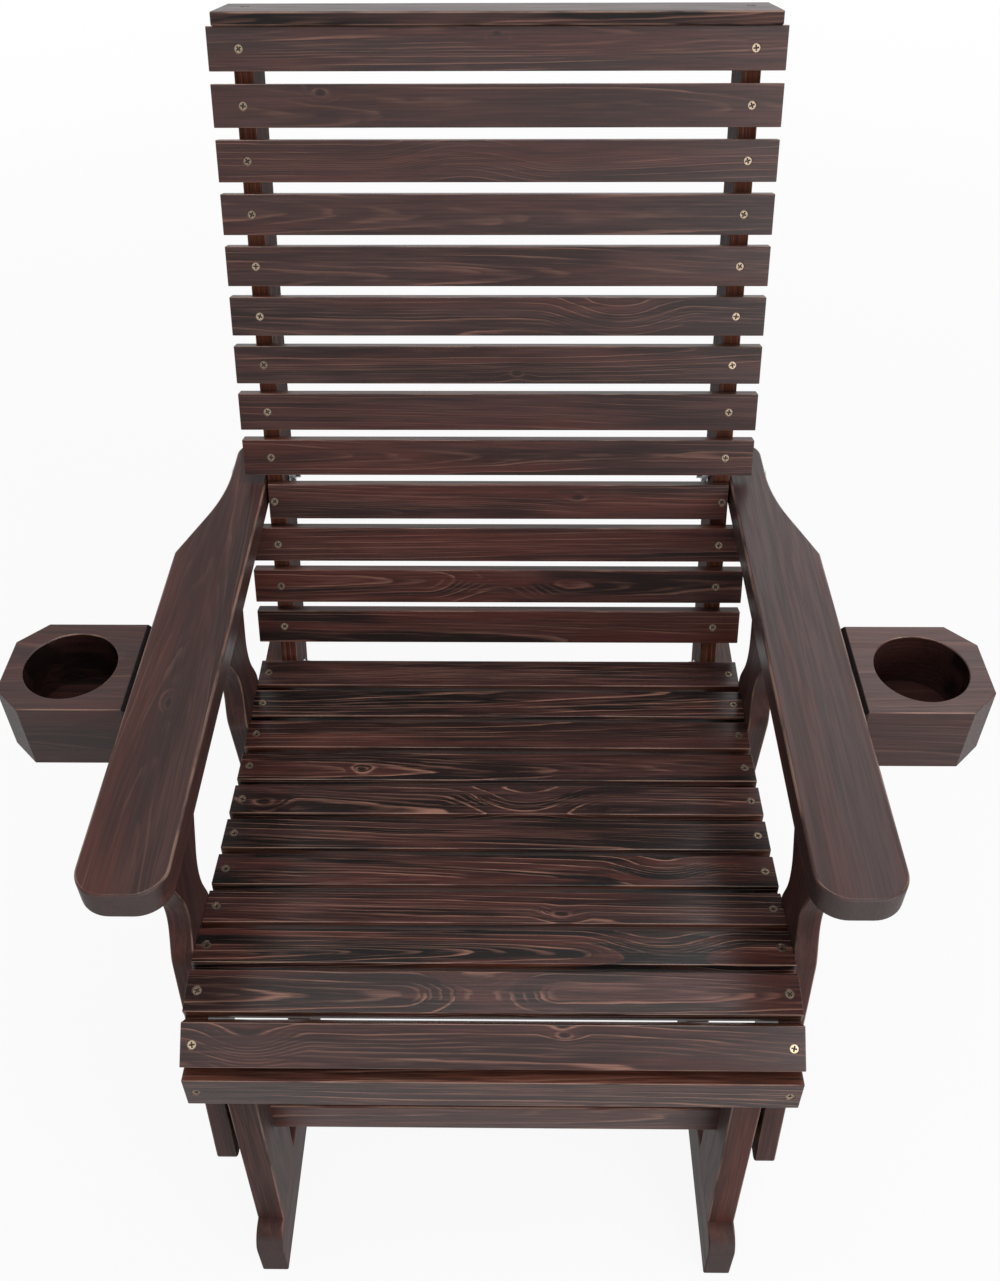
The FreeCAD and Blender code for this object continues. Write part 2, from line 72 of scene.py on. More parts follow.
def ramp(tree, value, low, high, to_low=0.0, to_high=1.0):
    """A value carried smoothly from the range low..high to to_low..to_high, and held outside it."""
    node = put(tree, "MapRange", {"Value": value, "From Min": low, "From Max": high,
                                  "To Min": to_low, "To Max": to_high}, interpolation_type="SMOOTHSTEP")
    return node.outputs["Result"]


def blend_colour(tree, share, low, high):
    """Colour between low and high by a share from 0 to 1."""
    node = put(tree, "Mix", {0: share, 6: low, 7: high}, data_type="RGBA")
    return node.outputs[2]


def wood_figure():
    """Figure of a sawn board. Growth rings are cylinders round a pith line beside the board, shaken by noise
    and pushed outward round two knots, so the face cuts them in long arches. Each ring ends in a pale line,
    starts dark and takes its own share of char, so dark lenses end on the lines. A wide knot has no heart."""
    group, given, result = add_group(
        "wood_figure",
        [("Place", "Vector"), ("Pith", "Vector"), ("Knot A", "Vector"), ("Knot B", "Vector")],
        [("Lines", "Float"), ("Shade", "Float"), ("Char", "Float"), ("Blush", "Float"), ("Fibres", "Float"),
         ("Knots", "Float")])
    ring_pitch, hair_pitch = 0.0050, 0.0019
    shake_reach, jitter_reach, taper, knot_jitter = 0.019, 0.0020, 0.014, 0.006
    widest_heart = 0.0055
    place = given.outputs["Place"]
    pith = put(group, "SeparateXYZ", {0: given.outputs["Pith"]}).outputs
    seeded = put(group, "VectorMath", {0: place, 1: given.outputs["Pith"]}, operation="SUBTRACT").outputs[0]

    def noise(vector, stretch, detail, rough=0.5):
        scaled = put(group, "VectorMath", {0: vector, 1: stretch}, operation="MULTIPLY").outputs[0]
        return put(group, "TexNoise", {"Vector": scaled, "Scale": 1.0, "Detail": detail,
                                       "Roughness": rough}).outputs

    xyz = put(group, "SeparateXYZ", {0: place}).outputs
    shake = put(group, "SeparateColor", {0: noise(seeded, (1.8, 13.0, 13.0), 2.0, 0.4)["Color"]}).outputs
    across = calc(group, "MULTIPLY_ADD", calc(group, "SUBTRACT", shake[0], 0.5), shake_reach, xyz[1])
    through = calc(group, "MULTIPLY_ADD", calc(group, "SUBTRACT", shake[1], 0.5), shake_reach, xyz[2])
    radius = calc(group, "SQRT", calc(group, "ADD",
                  calc(group, "POWER", calc(group, "SUBTRACT", across, pith[1]), 2.0),
                  calc(group, "POWER", calc(group, "SUBTRACT", through, pith[2]), 2.0)))
    radius = calc(group, "MULTIPLY_ADD", xyz[0], taper, radius)
    jitter = calc(group, "SUBTRACT", noise(seeded, (14.0, 110.0, 110.0), 2.0)["Fac"], 0.5)
    radius = calc(group, "MULTIPLY_ADD", jitter, jitter_reach, radius)
    core, halo = None, None
    for socket in ("Knot A", "Knot B"):
        knot = put(group, "SeparateXYZ", {0: given.outputs[socket]}).outputs
        dx = calc(group, "MULTIPLY", calc(group, "SUBTRACT", xyz[0], knot[0]), 0.5)
        dy = calc(group, "SUBTRACT", calc(group, "MULTIPLY_ADD", jitter, knot_jitter, xyz[1]), knot[1])
        gap = calc(group, "SQRT", calc(group, "ADD", calc(group, "POWER", dx, 2.0),
                                       calc(group, "POWER", dy, 2.0)))
        near = calc(group, "DIVIDE", gap, calc(group, "MAXIMUM", knot[2], 0.0005))
        radius = calc(group, "MULTIPLY_ADD", ramp(group, near, 0.2, 4.5, 1.2, 0.0), knot[2], radius)
        small = calc(group, "LESS_THAN", knot[2], widest_heart)
        heart = calc(group, "MULTIPLY", small, ramp(group, near, 0.55, 1.0, 1.0, 0.0))
        ring = calc(group, "MULTIPLY", ramp(group, near, 0.8, 1.1), ramp(group, near, 1.15, 1.8, 1.0, 0.0))
        ring = calc(group, "MULTIPLY", small, calc(group, "MULTIPLY", ring, ramp(group, jitter, -0.12, 0.12)))
        core = heart if core is None else calc(group, "MAXIMUM", core, heart)
        halo = ring if halo is None else calc(group, "MAXIMUM", halo, ring)
    turns = calc(group, "DIVIDE", radius, ring_pitch)
    phase = calc(group, "FRACT", turns)
    line = calc(group, "MULTIPLY", ramp(group, phase, 0.80, 0.94), ramp(group, phase, 0.95, 0.99, 1.0, 0.0))
    thin = calc(group, "FRACT", calc(group, "DIVIDE", radius, hair_pitch))
    hair = calc(group, "MULTIPLY", ramp(group, thin, 0.55, 0.85), ramp(group, thin, 0.88, 1.0, 1.0, 0.0))
    patchy = ramp(group, noise(seeded, (5.0, 48.0, 48.0), 2.0)["Fac"], 0.40, 0.60)
    spare = ramp(group, noise(place, (6.0, 70.0, 70.0), 2.0)["Fac"], 0.44, 0.62)
    lines = calc(group, "MAXIMUM", calc(group, "MULTIPLY", line, patchy), calc(group, "MULTIPLY", halo, 0.6))
    faint = calc(group, "MULTIPLY", calc(group, "MULTIPLY", hair, spare), 0.45)
    lines = calc(group, "MAXIMUM", lines, faint)
    shade = calc(group, "MULTIPLY", ramp(group, phase, 0.0, 0.55, 1.0, 0.0), patchy)
    ringwise = put(group, "CombineXYZ", {0: calc(group, "MULTIPLY_ADD", xyz[0], 3.4, pith[0]),
                                         1: calc(group, "MULTIPLY", calc(group, "FLOOR", turns), 0.83),
                                         2: calc(group, "MULTIPLY", pith[0], 3.1)}).outputs[0]
    own = noise(ringwise, (1.0, 1.0, 1.0), 1.5)["Fac"]
    wide = noise(seeded, (3.6, 46.0, 46.0), 3.0, 0.5)["Fac"]
    char = calc(group, "MULTIPLY_ADD", own, 0.45, calc(group, "MULTIPLY", wide, 0.55))
    char = ramp(group, char, 0.46, 0.57)
    blush = ramp(group, noise(seeded, (2.4, 26.0, 26.0), 3.0, 0.55)["Fac"], 0.40, 0.64)
    fibres = noise(seeded, (16.0, 480.0, 480.0), 2.0)["Fac"]
    for socket, value in (("Lines", lines), ("Shade", shade), ("Char", char), ("Blush", blush),
                          ("Fibres", fibres), ("Knots", core)):
        group.links.new(value, result.inputs[socket])
    return group


def worn_edges():
    """Mask of rubbed arrises: the roundings between a board's faces and its long edges, where the normal
    lies between the two, broken up by noise. Facing and Ending are how far the normal lies through the
    board and along it."""
    group, given, result = add_group(
        "worn_edges", [("Place", "Vector"), ("Facing", "Float"), ("Ending", "Float")], [("Mask", "Float")])
    facing = given.outputs["Facing"]
    edge = calc(group, "MULTIPLY", ramp(group, facing, 0.10, 0.40),
                ramp(group, facing, 0.88, 0.985, 1.0, 0.0))
    edge = calc(group, "MULTIPLY", edge, ramp(group, given.outputs["Ending"], 0.2, 0.45, 1.0, 0.0))
    scaled = put(group, "VectorMath", {0: given.outputs["Place"], 1: (14.0, 60.0, 60.0)},
                 operation="MULTIPLY").outputs[0]
    patchy = put(group, "TexNoise", {"Vector": scaled, "Scale": 1.0, "Detail": 3.0}).outputs["Fac"]
    group.links.new(calc(group, "MULTIPLY", edge, ramp(group, patchy, 0.34, 0.60)), result.inputs["Mask"])
    return group


def of_piece(tree, name, socket="Vector"):
    """A vector or a number that each board carries as its own property."""
    return put(tree, "Attribute", attribute_type="OBJECT", attribute_name=name).outputs[socket]


def stained_wood(sheen):
    """Stained softwood under a varnish that reflects by its sheen, which differs from board to board as a
    painted sheen and shade. Each board brings its own middle, directions, pith, knots and tone. The stain
    lies thinner and redder on the sawn edges than on the planed faces and dries grey and dull on end grain.
    Inside a bore the wood is glossier and painted near black, and in the groove beside an arm it is painted
    near black: painted shade in the hole and in the groove."""
    brown, red_brown = (0.0365, 0.0205, 0.0195, 1), (0.058, 0.0172, 0.0135, 1)
    sawn_red, bare_wood = (0.095, 0.0290, 0.0150, 1), (0.24, 0.145, 0.11, 1)
    char_black, painted_shade_black = (0.0055, 0.0046, 0.0045, 1), (0.0025, 0.0018, 0.0016, 1)
    pale_line, ring_dark = (0.230, 0.115, 0.085, 1), (0.010, 0.0065, 0.006, 1)
    pale_fibre, dark_fibre = (0.115, 0.060, 0.046, 1), (0.009, 0.005, 0.0045, 1)
    knot_dark, end_grey = (0.012, 0.008, 0.007, 1), (0.056, 0.044, 0.042, 1)
    material = bpy.data.materials.new("stained_wood_%02d" % round(100 * sheen))
    material.use_nodes = True
    tree = material.node_tree
    shader = tree.nodes["Principled BSDF"]
    here = put(tree, "TexCoord").outputs["Object"]
    offset = put(tree, "VectorMath", {0: here, 1: of_piece(tree, "grain_middle")},
                 operation="SUBTRACT").outputs[0]
    runs = [put(tree, "VectorMath", {0: offset, 1: of_piece(tree, name)},
                operation="DOT_PRODUCT").outputs["Value"] for name in grain_ways]
    place = put(tree, "CombineXYZ", dict(enumerate(runs))).outputs[0]
    figure = put(tree, "Group", node_tree=wood_figure_group)
    for socket, source in (("Place", place), ("Pith", of_piece(tree, "grain_pith")),
                           ("Knot A", of_piece(tree, "knot_a")), ("Knot B", of_piece(tree, "knot_b"))):
        tree.links.new(source, figure.inputs[socket])
    tone = put(tree, "SeparateXYZ", {0: of_piece(tree, "stain_tone")}).outputs
    normal = put(tree, "NewGeometry").outputs["Normal"]
    along, across, through = [
        calc(tree, "ABSOLUTE", put(tree, "VectorMath", {0: normal, 1: of_piece(tree, name)},
                                   operation="DOT_PRODUCT").outputs["Value"]) for name in grain_ways]
    wear = put(tree, "Group", node_tree=worn_edges_group)
    for socket, source in (("Place", place), ("Facing", through), ("Ending", along)):
        tree.links.new(source, wear.inputs[socket])
    bore = put(tree, "SeparateXYZ", {0: of_piece(tree, "bore_axis")}).outputs
    level = put(tree, "VectorMath", {0: here, 1: (1, 1, 0)}, operation="MULTIPLY").outputs[0]
    axis = put(tree, "CombineXYZ", {0: bore[0], 1: bore[1]}).outputs[0]
    from_axis = put(tree, "VectorMath", {0: level, 1: axis}, operation="DISTANCE").outputs["Value"]
    in_bore = ramp(tree, calc(tree, "SUBTRACT", from_axis, bore[2]), -0.0002, 0.0008, 1.0, 0.0)
    end_grain = calc(tree, "MULTIPLY", ramp(tree, along, 0.5, 0.85), calc(tree, "SUBTRACT", 1.0, in_bore))
    sawn = calc(tree, "MULTIPLY", ramp(tree, across, 0.75, 0.95), of_piece(tree, "edge_red", "Fac"))
    red = calc(tree, "MINIMUM", calc(tree, "MULTIPLY_ADD", figure.outputs["Blush"], 0.5, tone[0]), 1.0)
    colour = blend_colour(tree, red, brown, red_brown)
    colour = blend_colour(tree, sawn, colour, sawn_red)
    colour = blend_colour(tree, calc(tree, "MULTIPLY", figure.outputs["Char"], tone[1]), colour, char_black)
    ring_share = calc(tree, "MULTIPLY", figure.outputs["Shade"], calc(tree, "MULTIPLY", tone[2], 0.6))
    colour = blend_colour(tree, ring_share, colour, ring_dark)
    colour = blend_colour(tree, calc(tree, "MULTIPLY", figure.outputs["Lines"], tone[2]), colour, pale_line)
    pale_fibres = calc(tree, "MULTIPLY", ramp(tree, figure.outputs["Fibres"], 0.28, 0.46, 1.0, 0.0), tone[2])
    colour = blend_colour(tree, calc(tree, "MULTIPLY", pale_fibres, 0.40), colour, pale_fibre)
    dark_fibres = calc(tree, "MULTIPLY_ADD", tone[2], 0.40, 0.25)
    dark_fibres = calc(tree, "MULTIPLY", ramp(tree, figure.outputs["Fibres"], 0.45, 0.68), dark_fibres)
    colour = blend_colour(tree, dark_fibres, colour, dark_fibre)
    colour = blend_colour(tree, calc(tree, "MULTIPLY", figure.outputs["Knots"], 0.8), colour, knot_dark)
    colour = blend_colour(tree, calc(tree, "MULTIPLY", end_grain, 0.7), colour, end_grey)
    # Painted shade: the inside of a bore turns near black, redder in patches.
    painted_bore_shade = calc(tree, "MULTIPLY", in_bore, ramp(tree, figure.outputs["Blush"], 0.3, 1.0, 1.0, 0.62))
    from_middle = calc(tree, "ABSOLUTE", put(tree, "SeparateXYZ", {0: here}).outputs[0])
    # Painted shade: the strip of block in the groove beside an arm turns near black too.
    in_seam = calc(tree, "LESS_THAN", from_middle, of_piece(tree, "seam", "Fac"))
    colour = blend_colour(tree, calc(tree, "MAXIMUM", painted_bore_shade, in_seam), colour, painted_shade_black)
    colour = blend_colour(tree, calc(tree, "MULTIPLY", wear.outputs["Mask"], 0.6), colour, bare_wood)
    tree.links.new(colour, shader.inputs["Base Color"])
    rough = ramp(tree, figure.outputs["Fibres"], 0.25, 0.75, 0.30, 0.42)
    rough = calc(tree, "MULTIPLY_ADD", end_grain, 0.26, rough)
    rough = calc(tree, "ADD", rough, of_piece(tree, "matt", "Fac"))
    rough = calc(tree, "MULTIPLY_ADD", in_bore, -0.20, rough)
    tree.links.new(rough, shader.inputs["Roughness"])
    bump = put(tree, "Bump", {"Strength": 0.12, "Distance": 0.0005,
                              "Height": calc(tree, "ADD", figure.outputs["Lines"], figure.outputs["Fibres"])})
    tree.links.new(bump.outputs[0], shader.inputs["Normal"])
    shader.inputs["Specular IOR Level"].default_value = sheen
    return material


wood_figure_group = wood_figure()
worn_edges_group = worn_edges()
grain_ways = ("grain_along", "grain_across", "grain_through")
painted_sheen_copies = {}


def node_points(name):
    """All mesh points of a CAD node as an array."""
    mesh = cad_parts[name].data
    points = np.empty(len(mesh.vertices) * 3, np.float32)
    mesh.vertices.foreach_get("co", points)
    return points.reshape(-1, 3).astype(float)


def board_frame(name, along):
    """Middle and directions of a board: its given length, then the two square directions in which
    its points spread most and least."""
    points = node_points(name)
    along = np.array(along, float) / np.linalg.norm(along)
    flat = points - np.outer(points @ along, along)
    spread = np.linalg.svd(flat - flat.mean(0), full_matrices=False)[2]
    across, through = spread[0], np.cross(along, spread[0])
    turn = np.array([along, across, through])
    runs = points @ turn.T
    return (runs.min(0) + runs.max(0)) / 2 @ turn, turn


chance = np.random.default_rng(41)


def stain(name, along, char=0.5, lines=0.35, red=None, knots=(), bore=(0.0, 0.0, -1.0), edge_red=0.6,
          matt=0.0, sheen=0.22, seam=-1.0):
    """Give a board the wood finish with its own grain: a pith line some way off, the strength of its char and
    of its pale lines, the redness of its stain and of its edges, up to two knots, each as (along, across,
    radius) from the board's middle, an upright bore as (x, y, radius), how much duller it is than others,
    how strongly its varnish reflects, which also serves as a painted sheen and shade for how much light falls
    on it, and how far from the chair's middle the groove beside an arm ends, in which the board is painted
    near black as painted shade."""
    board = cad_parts[name]
    middle, turn = board_frame(name, along)
    board["grain_middle"] = middle.tolist()
    for key, way in zip(grain_ways, turn):
        board[key] = way.tolist()
    board["grain_pith"] = [chance.uniform(-9, 9), chance.uniform(-0.03, 0.03), -chance.uniform(0.012, 0.06)]
    own_red = chance.uniform(0.0, 0.3)
    board["stain_tone"] = [own_red if red is None else red,
                           char * chance.uniform(0.85, 1.15), lines * chance.uniform(0.7, 1.3)]
    board["bore_axis"] = list(bore)
    board["edge_red"] = edge_red
    board["matt"] = matt
    board["seam"] = seam
    chosen = list(knots) + [no_knot] * 2
    board["knot_a"], board["knot_b"] = [list(knot) for knot in chosen[:2]]
    # Boards with a different sheen get their own copy of the finish: a painted sheen and shade.
    sheen = round(sheen, 2)
    if sheen not in painted_sheen_copies:
        painted_sheen_copies[sheen] = stained_wood(sheen)
    board.data.materials.clear()
    board.data.materials.append(painted_sheen_copies[sheen])


no_knot = (5.0, 0.0, 0.001)
lean = math.tan(math.radians(3.4))
for side in ("left", "right"):
    stain("runner_" + side, (0, 1, 0), 0.45, 0.1, edge_red=0.2, matt=0.24, sheen=0.18)
    stain("base_front_leg_" + side, (0, lean, 1), 0.45, 0.1, edge_red=0.2, matt=0.24, sheen=0.16)
    stain("base_rear_leg_" + side, (0, -lean, 1), 0.45, 0.1, edge_red=0.2, matt=0.24, sheen=0.16)
stain("base_front_rail", (1, 0, 0), 0.3, 0.7, 1.0)
stain("base_rear_rail", (1, 0, 0), 0.6, 0.6, 0.7)


# Glide links: four flat steel hangers with bronze bushes pressed into both ends.
# They swing on shouldered pivot bolts, the upper ones through the legs and the lower ones through the posts.

def metal(name, colour, roughness, metallic=1.0):
    """Plain metal finish with a fine unevenness in its gloss."""
    material = bpy.data.materials.new(name)
    material.use_nodes = True
    tree = material.node_tree
    shader = tree.nodes["Principled BSDF"]
    shader.inputs["Base Color"].default_value = (*colour, 1)
    shader.inputs["Metallic"].default_value = metallic
    here = put(tree, "TexCoord").outputs["Object"]
    cloud = put(tree, "TexNoise", {"Vector": here, "Scale": 900.0, "Detail": 2.0}).outputs["Fac"]
    spread = 0.06
    uneven = ramp(tree, cloud, 0.3, 0.7, roughness - spread, roughness + spread)
    tree.links.new(uneven, shader.inputs["Roughness"])
    return material


def coat(name, material):
    """Give a CAD node another finish."""
    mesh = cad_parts[name].data
    mesh.materials.clear()
    mesh.materials.append(material)


zinc = metal("zinc_plate", (0.55, 0.55, 0.56), 0.32)
black_steel = metal("black_steel", (0.03, 0.03, 0.032), 0.42, 0.0)
bronze = metal("sintered_bronze", (0.46, 0.29, 0.13), 0.38)
for end in ("front", "rear"):
    for side in ("left", "right"):
        coat("%s_link_%s" % (end, side), black_steel)
        coat("%s_link_bushes_%s" % (end, side), bronze)
for name in ("base_pivot_bolts", "base_pivot_nuts", "seat_pivot_bolts"):
    coat(name, zinc)


# Seat: twelve softwood slats across two shaped rails, rolled over at the front.
# Each slat is planed, stained and screwed down to both rails through countersunk holes.

for side in ("left", "right"):
    stain("seat_rail_" + side, (0, 1, 0))
seat_knots = {
    4: [(-0.140, 0.004, 0.0024)],
    5: [(-0.235, 0.004, 0.0042), (0.030, 0.0, 0.010)],
    7: [(0.16, -0.004, 0.007)],
    8: [(0.062, 0.008, 0.0036)],
    9: [(0.150, -0.002, 0.009)],
    10: [(-0.01, 0.0, 0.008)],
    11: [(-0.210, -0.002, 0.0065), (0.062, -0.010, 0.0028)],
}
seat_red = {3: 0.55, 4: 0.4, 7: 0.35, 9: 0.6}
# Slats 10 to 12 carry less char, partly for their plainer figure and, on slat 11, as painted light; slats 10
# and 11 get their own sheen, a painted sheen and shade for how the rolled-over front catches the light.
seat_char_and_painted_light = {10: 0.7, 11: 0.35, 12: 0.5}
seat_painted_sheen = {10: 0.17, 11: 0.33}
for number in range(1, 13):
    stain("seat_slat_%02d" % number, (1, 0, 0), seat_char_and_painted_light.get(number, 0.9), 0.9, seat_red.get(number),
          seat_knots.get(number, ()), matt=-0.12, sheen=seat_painted_sheen.get(number, 0.22))


# Back: thirteen softwood slats screwed to two reclined uprights, closed on top by a screwed cap board.
# The slat between the arms is shorter than the others. Further down the back each slat gets more char and
# less sheen, a painted shade for the light that falls off towards the seat.

recline = math.radians(18.6)
# Little char and full edge red draw the uprights' front faces lighter and redder: painted light on the faces
# seen between the slats.
for side in ("left", "right"):
    stain("back_upright_" + side, (0, math.sin(recline), math.cos(recline)), 0.15, 0.5,
          edge_red=1.0, matt=0.3, sheen=0.06)
back_knots = {
    1: [(0.0, -0.013, 0.0024)],
    2: [(-0.165, -0.011, 0.0028)],
    3: [(-0.03, 0.0, 0.010)],
    6: [(0.12, -0.004, 0.009)],
    7: [(0.02, 0.008, 0.0030)],
    10: [(0.085, -0.006, 0.0040)],
    12: [(0.0, 0.004, 0.009)],
}
back_red = {8: 0.25, 9: 0.35, 10: 0.45, 11: 0.5, 12: 0.55, 13: 0.6}
# More char and less sheen on each lower slat: painted shade.
for number in range(1, 14):
    down = (number - 1) / 12
    stain("back_slat_%02d" % number, (1, 0, 0), 0.30 + 0.55 * down, 0.45, back_red.get(number),
          back_knots.get(number, ()), sheen=0.30 - 0.20 * down)
# Full char and a low sheen draw the cap darker than the slats: painted shade on its front face, which faces
# away from the light.
stain("back_cap", (1, 0, 0), 1.0, red=0.0, edge_red=0.0, sheen=0.13)


# Sides: waisted softwood posts bolted to the seat rails, and broad arm boards laid on the posts' heads.
# Each arm is sawn narrower behind and bolted to the upright.

post_lean = math.tan(math.radians(7.6))
arm_red = {"left": 0.2, "right": 0.0}
arm_lines = {"left": 0.2, "right": 0.06}
arm_knots = {"left": [(-0.10, 0.0, 0.0030)], "right": []}
# The right arm's varnish gets more sheen than the left's: a painted sheen for the light from the right.
arm_painted_sheen = {"left": 0.18, "right": 0.21}
for side in ("left", "right"):
    stain("front_post_" + side, (0, post_lean, 1), 0.5, 0.1, edge_red=0.1, matt=0.12, sheen=0.15)
    stain("rear_post_" + side, (0, -post_lean, 1), 0.5, 0.1, edge_red=0.1, matt=0.12, sheen=0.15)
    stain("arm_" + side, (0, 1, 0), 0.45, arm_lines[side], arm_red[side], arm_knots[side], edge_red=0.0,
          sheen=arm_painted_sheen[side])


# Cup holders: a bored softwood block glued to the outer edge of each arm, with its outer corners cut off.
# The bore and the strip of block beside the arm are painted near black: painted shade in the hole and in the
# groove.

cup_axis_x, cup_axis_y, cup_radius, seam_x = 0.386, -0.0996, 0.042, 0.3275
# The right cup holder carries less char than the left, so it is drawn lighter: painted light for the light
# from the right.
for side, way, char in (("left", -1, 0.4), ("right", 1, 0.1)):
    stain("cup_holder_" + side, (1, 0, 0), char, 0.2, bore=(way * cup_axis_x, cup_axis_y, cup_radius),
          edge_red=0.0, sheen=0.25, seam=seam_x)


# Fasteners: yellow zinc wood screws with cross recesses, sunk a little below the wood,
# and bright carriage bolts whose rolled threads end in flanged lock nuts.

def screw_places():
    """Head centre and outward axis of each screw, from its own points: the axis is the line along which they
    spread most, and the head is the widest ring on it. The node's points come screw by screw, so a step
    longer than a screw starts the next one."""
    points = node_points("wood_screws")
    longer_than_a_screw = 0.035
    steps = np.linalg.norm(np.diff(points, axis=0), axis=1)
    heads, axes = [], []
    for cloud in np.split(points, np.nonzero(steps > longer_than_a_screw)[0] + 1):
        middle = cloud.mean(0)
        axis = np.linalg.svd(cloud - middle, full_matrices=False)[2][0]
        height = (cloud - middle) @ axis
        radius = np.linalg.norm(cloud - middle - np.outer(height, axis), axis=1)
        reach = height[radius > 0.98 * radius.max()].mean()
        heads.append(middle + reach * axis)
        axes.append(axis * np.sign(reach))
    return np.array(heads), np.array(axes)


def soft_step(value, low, high):
    """0 below low, 1 above high and a smooth rise between them."""
    share = np.clip((value - low) / (high - low), 0, 1)
    return share * share * (3 - 2 * share)


def screw_set(name, heads, axes, turns, dull):
    """All screws as one mesh. Each is a profile turned round its axis, with a crossed slot pressed into the
    head: depth = slot depth times a soft box in the slot's width and length, the larger of two at right
    angles. The slot and the rim are kept as an attribute for painted shade in the recess and round the sunk
    rim, and each screw's dull share as dull."""
    top = [(radius, 0.0) for radius in np.linspace(0.25, 2.65, 13)]
    rim = [(3.3, 0.0), (3.9, -0.02), (4.15, -0.12), (4.25, -0.35)]
    shank = [(2.0, -2.3), (2.0, -24.0), (0.2, -27.4)]
    profile = np.array(top + rim + shank)
    around = np.linspace(0, 2 * np.pi, 48, endpoint=False)
    flat_x = profile[:, :1] * np.cos(around)
    flat_y = profile[:, :1] * np.sin(around)
    slot_half_width, slot_half_length, slot_depth, head_sink = 0.6, 2.5, 1.5, 0.4

    def slot(run, side):
        inside = 1 - soft_step(np.abs(side), slot_half_width - 0.15, slot_half_width + 0.15)
        return inside * (1 - soft_step(np.abs(run), slot_half_length - 0.3, slot_half_length + 0.1))

    cross = np.maximum(slot(flat_x, flat_y), slot(flat_y, flat_x)) * (profile[:, 1:] > -0.01)
    level = profile[:, 1:] - head_sink - slot_depth * cross
    # Painted shade: the cross recess and the sunk rim are marked to be coloured near black.
    painted_recess_shade = np.maximum(cross, soft_step(profile[:, :1], 3.2, 4.1))
    first = np.cross(axes, (1.0, 0.0, 0.0))
    first = first / np.linalg.norm(first, axis=1)[:, None]
    second = np.cross(axes, first)
    one = np.cos(turns)[:, None] * first + np.sin(turns)[:, None] * second
    two = np.cross(axes, one)
    local = np.stack([flat_x, flat_y, level], -1).reshape(-1, 3) / 1000
    points = heads[:, None] + local @ np.stack([one, two, axes], 1)
    rows, columns, count = len(profile), len(around), len(heads)
    index = np.arange(rows * columns).reshape(rows, columns)
    beside = np.roll(index, -1, 1)
    quads = np.stack([index[:-1], index[1:], beside[1:], beside[:-1]], -1).reshape(-1, 4)
    starts = (np.arange(count) * rows * columns)[:, None, None]
    ends = np.stack([index[0], index[-1, ::-1]])
    mesh = bpy.data.meshes.new(name)
    mesh.from_pydata(points.reshape(-1, 3).tolist(), [], (quads + starts).reshape(-1, 4).tolist()
                     + (ends + starts).reshape(-1, columns).tolist())
    for key, values in (("painted_recess_shade", np.tile(painted_recess_shade.ravel(), count)), ("dull", np.repeat(dull, rows * columns))):
        mesh.attributes.new(key, "FLOAT", "POINT").data.foreach_set("value", values.astype(np.float32))
    piece = bpy.data.objects.new(name, mesh)
    bpy.context.scene.collection.objects.link(piece)
    return piece


def screw_metal():
    """Yellow zinc, duller and browner by each screw's dull share, with painted shade in the cross recess and
    round the rim.
    """
    bright_zinc, dull_zinc = (0.70, 0.55, 0.38, 1), (0.16, 0.112, 0.085, 1)
    recess_shade_black = (0.012, 0.008, 0.006, 1)
    material = metal("yellow_zinc", (0.6, 0.5, 0.36), 0.36)
    tree = material.node_tree
    shader = tree.nodes["Principled BSDF"]
    dull_share = put(tree, "Attribute", attribute_name="dull").outputs["Fac"]
    painted_recess_shade = put(tree, "Attribute", attribute_name="painted_recess_shade").outputs["Fac"]
    colour = blend_colour(tree, dull_share, bright_zinc, dull_zinc)
    # Painted shade: near black and not metallic in the recess and round the rim.
    colour = blend_colour(tree, painted_recess_shade, colour, recess_shade_black)
    tree.links.new(colour, shader.inputs["Base Color"])
    tree.links.new(calc(tree, "SUBTRACT", 1.0, painted_recess_shade), shader.inputs["Metallic"])
    return material


screw_heads, screw_axes = screw_places()
screw_count = len(screw_heads)
highest_seat_screw, upright, roll_lean, roll_band = 0.47, 0.8, 0.6, 0.2
over_seat = screw_heads[:, 2] > highest_seat_screw
in_cap = over_seat & (screw_axes[:, 2] > upright)
in_front = ~over_seat & (np.abs(screw_axes[:, 1] + roll_lean) < roll_band)
# Screws are drawn duller and browner by where they sit: fully in the cap, much on the seat and back, little
# in the rolled-over front.
front_dull = chance.uniform(0.1, 0.4, screw_count)
back_dull = chance.uniform(0.55, 0.9, screw_count)
seat_dull = chance.uniform(0.6, 0.95, screw_count)
screw_dull = np.select([in_cap, in_front, over_seat], [np.ones(screw_count), front_dull, back_dull],
                       seat_dull)
screw_turns = chance.uniform(0, np.pi, screw_count)
screws = screw_set("slat_screws", screw_heads, screw_axes, screw_turns, screw_dull)
screws.data.materials.append(screw_metal())
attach(screws, "seat")
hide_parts("wood_screws")


def threaded_zinc():
    """Zinc plate with a rolled thread on the inner ends of the bolts, which all lie across the chair."""
    material = metal("threaded_zinc", (0.55, 0.55, 0.56), 0.32)
    thread_reach, thread_pitch = 0.247, 0.00125
    tree = material.node_tree
    across = put(tree, "SeparateXYZ", {0: put(tree, "TexCoord").outputs["Object"]}).outputs[0]
    inner = calc(tree, "LESS_THAN", calc(tree, "ABSOLUTE", across), thread_reach)
    wave = calc(tree, "SINE", calc(tree, "MULTIPLY", across, 2 * math.pi / thread_pitch))
    bump = put(tree, "Bump", {"Strength": 0.9, "Distance": 0.0004,
                              "Height": calc(tree, "MULTIPLY", wave, inner)})
    tree.links.new(bump.outputs[0], tree.nodes["Principled BSDF"].inputs["Normal"])
    return material


coat("frame_bolts", threaded_zinc())
coat("lock_nuts", zinc)


# Stage: a white floor and even studio light, with the camera where the photographer stood,
# in front of the chair at head height and looking down into the seat.

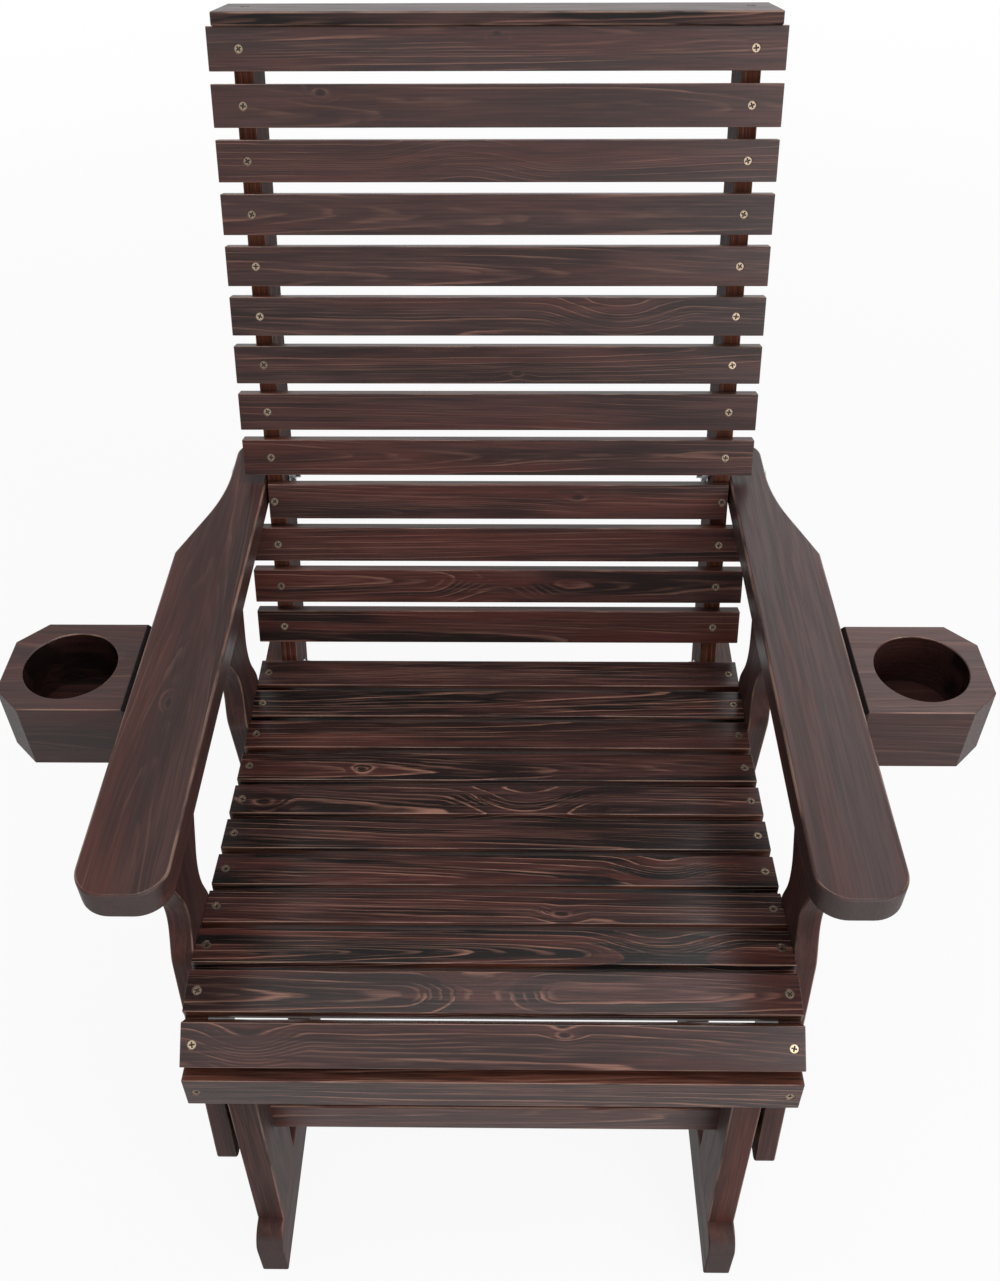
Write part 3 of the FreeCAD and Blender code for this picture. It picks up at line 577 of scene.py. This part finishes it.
floor_mesh = bpy.data.meshes.new("floor")
reach = 14.0
corners = [(-reach, -reach, 0), (reach, -reach, 0), (reach, reach, 0), (-reach, reach, 0)]
floor_mesh.from_pydata(corners, [], [(0, 1, 2, 3)])
floor = bpy.data.objects.new("floor", floor_mesh)
bpy.context.scene.collection.objects.link(floor)
paint = bpy.data.materials.new("floor_paint")
paint.use_nodes = True
tree = paint.node_tree
tree.nodes.clear()


def seen_directly(tree):
    """1 for rays that show the background as it is: from the camera, a gloss or a clear body."""
    rays = put(tree, "LightPath").outputs
    mirrored = calc(tree, "MAXIMUM", rays["Is Camera Ray"], rays["Is Glossy Ray"])
    return calc(tree, "MAXIMUM", mirrored, rays["Is Transmission Ray"])


matt = put(tree, "BsdfDiffuse", {"Color": (0.45, 0.45, 0.45, 1)})
glow = put(tree, "Emission", {"Color": (1, 1, 1, 1), "Strength": 1.0})
here = put(tree, "TexCoord").outputs["Object"]
away = put(tree, "VectorMath", {0: here}, operation="LENGTH").outputs["Value"]
share = calc(tree, "MULTIPLY", seen_directly(tree), ramp(tree, away, 0.8, 4.5, 0.92, 1.0))
both = put(tree, "MixShader", {0: share, 1: matt.outputs[0], 2: glow.outputs[0]})
put(tree, "OutputMaterial", {"Surface": both.outputs[0]})
floor_mesh.materials.append(paint)

world = bpy.data.worlds.new("studio")
bpy.context.scene.world = world
world.use_nodes = True
sky = world.node_tree
background = sky.nodes["Background"]
fill_light = 0.45
sky.links.new(ramp(sky, seen_directly(sky), 0.0, 1.0, fill_light, 1.0), background.inputs["Strength"])
background.inputs["Color"].default_value = (1, 1, 1, 1)


def soft_lamp(name, place, aim, size, power):
    """Large area lamp at a place, turned to a point."""
    lamp = bpy.data.lights.new(name, "AREA")
    lamp.shape = "RECTANGLE"
    lamp.size, lamp.size_y = size
    lamp.energy = power
    stand = bpy.data.objects.new(name, lamp)
    way = np.array(aim, float) - np.array(place, float)
    flat_run = math.hypot(way[0], way[1])
    stand.location = place
    stand.rotation_euler = (math.atan2(flat_run, -way[2]), 0.0, math.atan2(-way[0], way[1]))
    bpy.context.scene.collection.objects.link(stand)


soft_lamp("window", (1.7, 2.3, 2.9), (0.1, 0, 0.6), (2.6, 2.4), 38.0)
soft_lamp("ceiling", (0.1, -0.7, 3.3), (0, 0, 0.5), (2.4, 2.0), 70.0)
soft_lamp("front", (1.6, -1.8, 1.2), (0.1, 0, 0.6), (1.8, 1.2), 42.0)

photo_height, focal_length = 1281.0, 1247.6
camera = bpy.data.cameras.new("camera")
camera.sensor_fit = "VERTICAL"
camera.sensor_height = 24.0
camera.lens = camera.sensor_height * focal_length / photo_height
eye = bpy.data.objects.new("camera", camera)
eye.location = (0.0174, -0.9100, 1.4170)
eye.rotation_euler = [math.radians(angle) for angle in (46.935, 0.300, 0.581)]
bpy.context.scene.collection.objects.link(eye)
bpy.context.scene.camera = eye
bpy.context.scene.view_settings.view_transform = "Standard"
